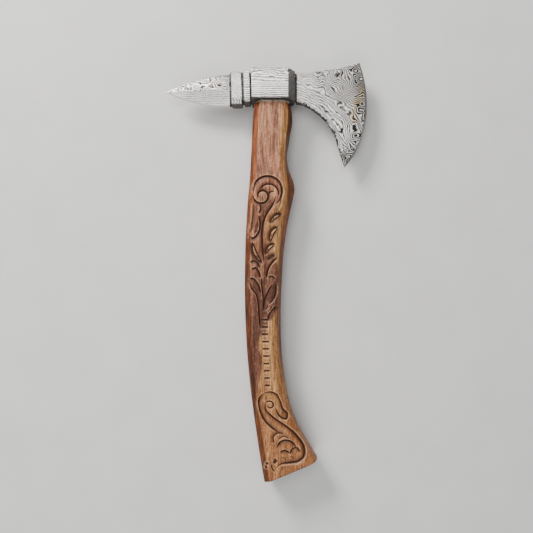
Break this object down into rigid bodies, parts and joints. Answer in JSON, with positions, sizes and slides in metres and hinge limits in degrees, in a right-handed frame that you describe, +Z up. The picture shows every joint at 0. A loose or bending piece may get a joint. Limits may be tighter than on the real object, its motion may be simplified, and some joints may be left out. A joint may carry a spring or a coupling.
{
  "type": "spike hatchet",
  "caption": "Spike-backed hatchet: a patterned forged steel head wedged onto a curved hardwood handle with carved scrolls.",
  "frame": {"origin": "on the lower flat cheek of the eye block, where the axis of the eye crosses the middle of the block's height", "axes": "+X towards the cutting edge, +Y from the butt of the handle towards the top of the head, +Z up through the thickness of the hatchet as it lies on its side"},
  "size_m": [0.2046, 0.4245, 0.037],
  "materials": {
    "patterned_steel": "etched layered steel, satin",
    "handle_wood": "oiled dark hardwood with carved relief",
    "wedge_wood": "end grain of pale hardwood, oiled",
    "wedge_steel": "hammered plain steel, dull",
    "bedding_resin": "rough hardened resin and wood dust"
  },
  "bodies": {
    "root": {"axe_head": "patterned_steel", "handle": "handle_wood", "eye_wedge": "wedge_wood", "steel_wedges": "wedge_steel", "eye_bedding": "bedding_resin"}
  },
  "joints": []
}
